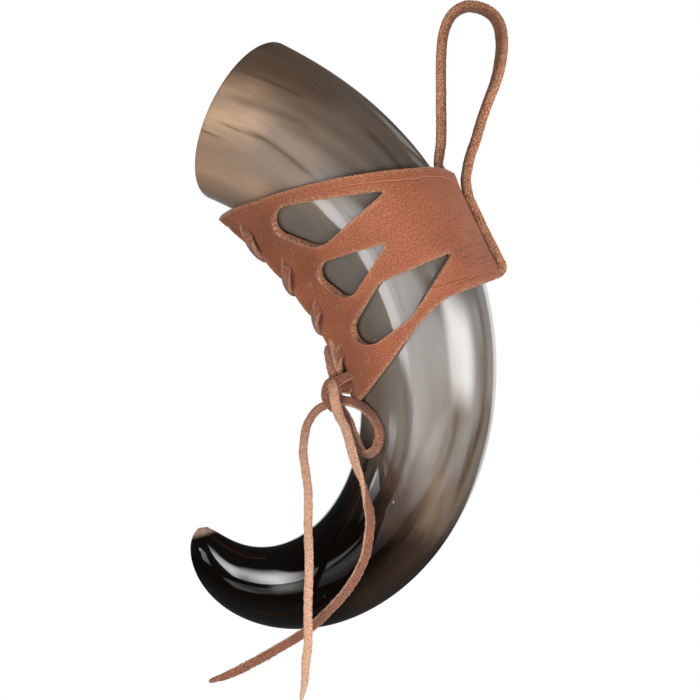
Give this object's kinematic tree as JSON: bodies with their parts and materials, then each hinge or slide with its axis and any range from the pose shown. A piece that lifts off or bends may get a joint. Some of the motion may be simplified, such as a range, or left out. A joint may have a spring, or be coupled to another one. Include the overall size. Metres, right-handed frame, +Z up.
{
  "type": "drinking horn with belt holder",
  "caption": "Polished curved drinking horn carried in a pierced leather holder that is laced up the inside of the bend and hung from a belt by a leather thong loop",
  "frame": {"origin": "Where a belt bears in the top of the belt loop, on the loop's inner face.", "axes": "+Z is up as the horn hangs. The bend of the horn lies in the XZ plane, and its mouth opens towards -X, a little up and towards +Y. -Y is the side that the picture shows."},
  "size_m": [0.133, 0.0845, 0.2915],
  "materials": {
    "horn": "polished natural horn, streaked brown and grey at the mouth and near black at the tip",
    "holder_leather": "vegetable-tanned leather, red brown, with pale cut edges",
    "lace_leather": "cut leather lace with a smooth red-brown face and pale fibrous sides",
    "thong_leather": "square-cut leather thong with rough speckled sides"
  },
  "bodies": {
    "belt_loop": {"belt_loop": "thong_leather"},
    "holder": {"leather_holder": "holder_leather", "seam_lacing": "lace_leather", "lace_stub": "lace_leather", "lace_knot": "lace_leather", "lace_bow": "lace_leather", "lace_tail_left": "lace_leather", "lace_tail_right": "lace_leather", "belt_thong_run": "thong_leather", "belt_thong_tuck": "thong_leather"},
    "horn": {"horn": "horn"}
  },
  "joints": [
    {"name": "loop_swing", "type": "hinge", "parent": "belt_loop", "child": "holder", "pos_m": [-0.0074, 0, -0.07071], "axis": [0.7083, 0, -0.7059], "range_deg": [-30, 30]},
    {"name": "horn_draw", "type": "hinge", "parent": "holder", "child": "horn", "pos_m": [-0.15, 0, -0.155], "axis": [0, -1, 0], "range_deg": [0, 24]}
  ]
}
